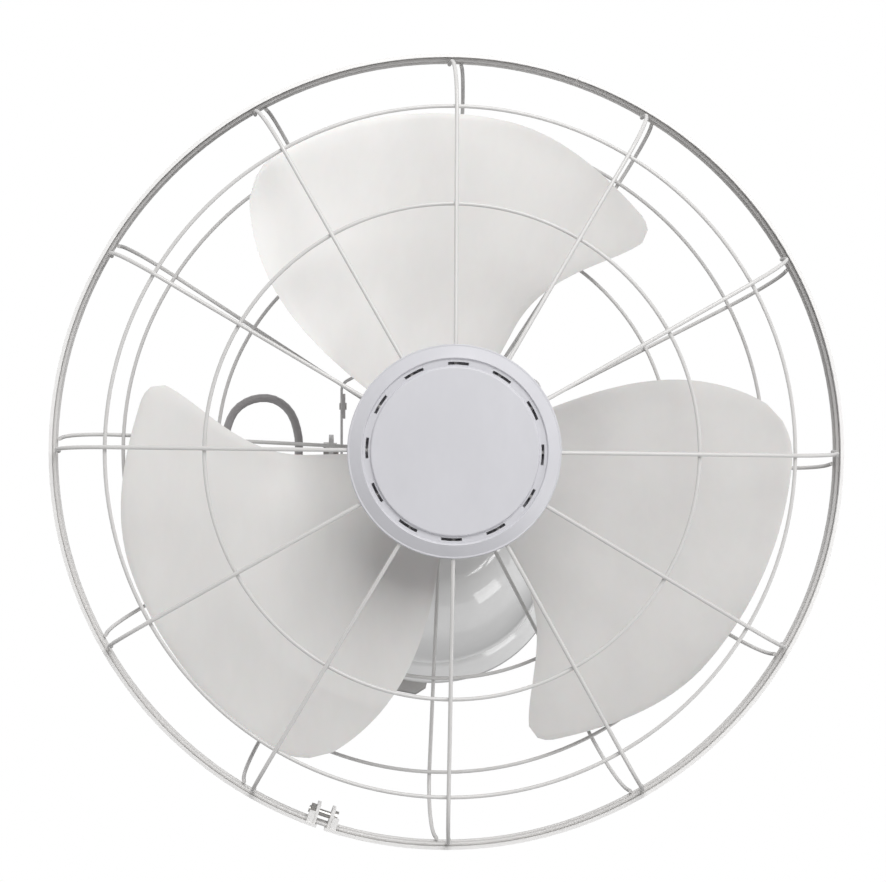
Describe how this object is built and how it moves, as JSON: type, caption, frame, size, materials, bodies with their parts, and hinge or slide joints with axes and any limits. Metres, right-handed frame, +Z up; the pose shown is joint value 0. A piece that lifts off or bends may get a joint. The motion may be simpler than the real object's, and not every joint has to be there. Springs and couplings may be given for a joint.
{
  "type": "orbital ceiling fan",
  "caption": "Caged ceiling fan whose white wire-guarded blade head leans over and circles below a bell-shaped ceiling canopy on a crank, gimbal ring and yoke",
  "frame": {"origin": "Centre of the ceiling plate's top face, where it meets the ceiling", "axes": "+Z up into the ceiling; +Y away from the side that the head leans to at rest; +X along the yoke's pivot line"},
  "size_m": [0.4699, 0.4253, 0.4243],
  "materials": {
    "zinc_steel": "dull grey zinc",
    "screw_steel": "plated, slightly worn",
    "white_paint": "white enamel, satin",
    "white_gloss": "glossy white moulding",
    "white_plastic": "satin white moulding",
    "blade_plastic": "satin pale grey-white moulding",
    "bronze": "sintered bronze, oily",
    "turned_steel": "turned",
    "gear_steel": "sintered steel, greased",
    "gear_plastic": "ivory moulding, greased",
    "motor_casting": "die cast",
    "core_steel": "stacked laminations, varnished",
    "copper": "enamelled copper wire",
    "grey_plastic": "moulded box",
    "black_rubber": "matt",
    "grey_lead": "grey sheath, satin"
  },
  "bodies": {
    "base": {"ceiling_plate": "zinc_steel", "base_frame": "zinc_steel", "frame_bolts": "screw_steel", "main_bush": "bronze", "yoke": "white_paint", "yoke_screws": "screw_steel", "pivot_screws": "screw_steel", "pivot_nuts": "screw_steel", "canopy": "white_gloss", "canopy_screws": "screw_steel", "terminal_block": "gear_plastic", "terminal_screws": "screw_steel", "capacitor": "grey_plastic", "cable_grommet": "black_rubber"},
    "crank": {"crank": "turned_steel", "crank_washer": "screw_steel", "crank_nut": "screw_steel", "output_gear": "gear_steel", "gear_clip": "screw_steel"},
    "head": {"gear_case": "white_paint", "gear_case_cover": "white_paint", "gear_case_screws": "screw_steel", "case_bush": "bronze", "thrust_washer": "screw_steel", "motor_rear_bell": "motor_casting", "motor_front_bell": "motor_casting", "stator_core": "core_steel", "stator_windings": "copper", "motor_tie_screws": "screw_steel", "rear_bearing": "bronze", "front_bearing": "bronze", "motor_cover_front": "white_paint", "motor_cover_rear": "white_paint", "cover_screws": "screw_steel", "gimbal_pivot_screws": "screw_steel", "rear_guard": "white_paint", "guard_plate": "white_paint", "guard_nut": "white_plastic", "front_guard": "white_paint", "guard_band_left": "white_paint", "guard_band_right": "white_paint", "band_screw": "screw_steel", "front_cap": "white_plastic", "cap_backplate": "white_plastic", "cap_screws": "screw_steel", "motor_lead": "grey_lead", "cover_gland": "black_rubber", "case_gland": "black_rubber"},
    "gimbal": {"gimbal_ring": "white_paint", "ring_plates": "white_paint", "ring_rivets": "screw_steel"},
    "rotor": {"motor_shaft": "turned_steel", "rotor_core": "motor_casting", "worm": "turned_steel", "blades": "blade_plastic", "spinner": "white_plastic", "drive_pin": "screw_steel"},
    "wheel": {"worm_wheel": "gear_plastic", "clutch_spring": "turned_steel"},
    "clutch": {"clutch_pinion": "gear_plastic"}
  },
  "joints": [
    {"name": "orbit", "type": "hinge", "parent": "base", "child": "crank", "pos_m": [0, 0, -0.182], "axis": [0, 0, 1], "continuous": true},
    {"name": "head_wobble", "type": "hinge", "parent": "crank", "child": "head", "pos_m": [0, 0, -0.182], "axis": [0, 0.4695, 0.8829], "continuous": true},
    {"name": "gimbal_swing", "type": "hinge", "parent": "head", "child": "gimbal", "pos_m": [0, 0, -0.182], "axis": [0, 0.8829, -0.4695], "range_deg": [-28, 28]},
    {"name": "blade_spin", "type": "hinge", "parent": "head", "child": "rotor", "pos_m": [0, 0, -0.182], "axis": [0, 0.4695, 0.8829], "continuous": true},
    {"name": "worm_wheel_turn", "type": "hinge", "parent": "head", "child": "wheel", "pos_m": [0, 0.03079, -0.15477], "axis": [1, 0, 0], "continuous": true},
    {"name": "clutch_turn", "type": "hinge", "parent": "head", "child": "clutch", "pos_m": [0, 0.03079, -0.15477], "axis": [1, 0, 0], "continuous": true}
  ],
  "couplings": [
    {"joint": "head_wobble", "follows": "orbit", "ratio": -1},
    {"joint": "worm_wheel_turn", "follows": "blade_spin", "ratio": 0.033333},
    {"joint": "clutch_turn", "follows": "orbit", "ratio": -3}
  ]
}
